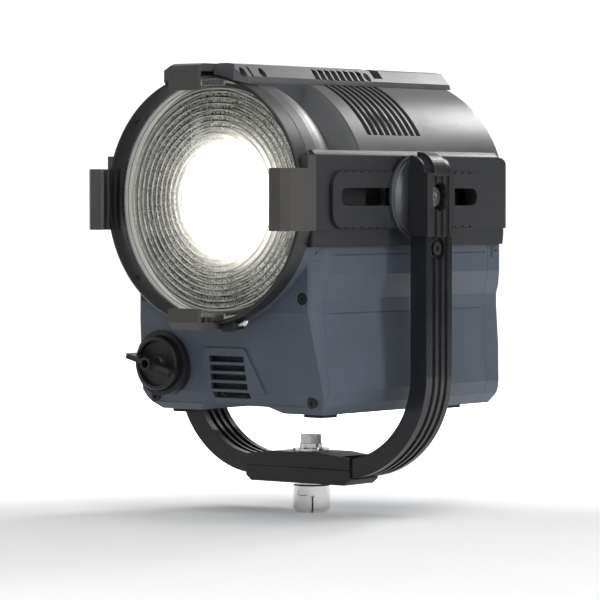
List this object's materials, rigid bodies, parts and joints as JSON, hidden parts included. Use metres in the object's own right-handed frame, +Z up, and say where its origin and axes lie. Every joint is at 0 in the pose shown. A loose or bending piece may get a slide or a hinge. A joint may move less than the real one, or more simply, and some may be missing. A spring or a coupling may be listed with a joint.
{
  "type": "fresnel spotlight",
  "caption": "Studio fresnel spotlight: round barrel with ringed lens, slate base housing, slotted side bands and a ribbed U yoke on a chrome spigot.",
  "frame": {"origin": "centre of the stud bore's mouth at the spigot's lower end", "axes": "+Z up; the light shines along -Y; +X is the side without the tilt lock lever"},
  "size_m": [0.2615, 0.2979, 0.3445],
  "materials": {
    "chrome": "polished, fine turned",
    "steel": "zinc plated, satin",
    "yoke_black": "black anodised, bright rib edges",
    "casting_black": "black powder coat, satin",
    "hub_grey": "grey-blue satin",
    "housing_charcoal": "charcoal powder coat, fine speckle",
    "panel_black": "black moulded, fine grain",
    "base_slate": "slate grey-blue moulded, fine grain",
    "rubber": "matt",
    "screw_black": "black oxide",
    "bare_aluminium": "satin",
    "lens_glass": "pressed, pebbled back",
    "clip_grey": "dark grey satin",
    "knob_plastic": "black, satin",
    "led_ceramic": "white ceramic with yellow phosphor",
    "board_green": "solder mask",
    "display": "glossy window",
    "connector_black": "black, satin"
  },
  "bodies": {
    "stand_spigot": {"spigot": "chrome", "spigot_washer": "steel", "yoke_bolt": "steel", "bolt_washers": "steel"},
    "yoke": {"yoke_arm_left": "yoke_black", "yoke_arm_right": "yoke_black", "clamp_upper": "casting_black", "clamp_lower": "casting_black", "clamp_screws": "steel", "yoke_end_left": "casting_black", "yoke_end_right": "casting_black", "yoke_end_screws": "screw_black"},
    "tilt_lever": {"tilt_lock_lever": "casting_black"},
    "tilt_carrier": {"hub_disc_left": "hub_grey", "hub_disc_right": "hub_grey", "pivot_bolt_left": "steel", "pivot_bolt_right": "steel", "slot_nuts": "steel"},
    "latch": {"top_latch": "clip_grey"},
    "plunger": {"plunger_pin": "steel"},
    "focus_drive": {"focus_knob": "knob_plastic", "lead_screw": "steel"},
    "carriage": {"led_carriage": "bare_aluminium", "led_board": "led_ceramic", "heatsink": "bare_aluminium", "fan_frame": "knob_plastic"},
    "fan": {"fan_rotor": "knob_plastic"},
    "menu_dial": {"menu_knob": "knob_plastic"},
    "left_key": {"button_left": "knob_plastic"},
    "middle_key": {"button_middle": "knob_plastic"},
    "right_key": {"button_right": "knob_plastic"},
    "head": {"barrel_shell": "housing_charcoal", "top_spine": "housing_charcoal", "front_collar": "casting_black", "rear_housing_cover": "housing_charcoal", "side_panel_left": "panel_black", "side_panel_right": "panel_black", "slot_plate_left": "panel_black", "slot_plate_right": "panel_black", "base_front_cover": "base_slate", "base_mid_shell": "base_slate", "base_rear_cover": "base_slate", "base_feet": "rubber", "cover_screws": "screw_black", "lens_ring": "bare_aluminium", "fresnel_lens": "lens_glass", "lens_clips": "steel", "lens_cell": "casting_black", "accessory_clips": "clip_grey", "latch_pin": "steel", "plunger_housing": "casting_black", "focus_flange": "knob_plastic", "guide_rods": "steel", "power_supply": "bare_aluminium", "control_board": "board_green", "chassis_tray": "bare_aluminium", "control_panel": "knob_plastic", "display_window": "display", "rear_connectors": "connector_black", "safety_eye": "steel"}
  },
  "joints": [
    {"name": "pan", "type": "hinge", "parent": "stand_spigot", "child": "yoke", "pos_m": [0, 0, 0.03], "axis": [0, 0, 1], "continuous": true},
    {"name": "tilt", "type": "hinge", "parent": "yoke", "child": "tilt_carrier", "pos_m": [0, 0, 0.245], "axis": [1, 0, 0], "range_deg": [-20, 90]},
    {"name": "balance_slide", "type": "slide", "parent": "tilt_carrier", "child": "head", "axis": [0, 1, 0], "range_m": [-0.07, 0.07]},
    {"name": "tilt_lock", "type": "hinge", "parent": "yoke", "child": "tilt_lever", "pos_m": [-0.13, 0, 0.245], "axis": [-1, 0, 0], "range_deg": [-30, 90]},
    {"name": "accessory_latch", "type": "hinge", "parent": "head", "child": "latch", "pos_m": [0, -0.13, 0.3407], "axis": [-1, 0, 0], "range_deg": [0, 75]},
    {"name": "plunger_pull", "type": "slide", "parent": "head", "child": "plunger", "axis": [0.9763, 0, 0.2164], "range_m": [0, 0.005], "stiffness_N_per_m": 400},
    {"name": "focus_travel", "type": "slide", "parent": "head", "child": "carriage", "axis": [0, 1, 0], "range_m": [-0.03, 0.03]},
    {"name": "focus_turn", "type": "hinge", "parent": "head", "child": "focus_drive", "pos_m": [-0.062, -0.118, 0.118], "axis": [0, 1, 0], "range_deg": [-1081, 1081]},
    {"name": "fan_spin", "type": "hinge", "parent": "carriage", "child": "fan", "pos_m": [0, 0.032, 0.243], "axis": [0, 1, 0], "continuous": true},
    {"name": "menu_turn", "type": "hinge", "parent": "head", "child": "menu_dial", "pos_m": [0.03, 0.129, 0.274], "axis": [0, 1, 0], "continuous": true},
    {"name": "left_key_press", "type": "slide", "parent": "head", "child": "left_key", "axis": [0, -1, 0], "range_m": [0, 0.001], "stiffness_N_per_m": 400},
    {"name": "middle_key_press", "type": "slide", "parent": "head", "child": "middle_key", "axis": [0, -1, 0], "range_m": [0, 0.001], "stiffness_N_per_m": 400},
    {"name": "right_key_press", "type": "slide", "parent": "head", "child": "right_key", "axis": [0, -1, 0], "range_m": [0, 0.001], "stiffness_N_per_m": 400}
  ],
  "couplings": [
    {"joint": "focus_turn", "follows": "focus_travel", "rad_per_m": -628.32}
  ]
}
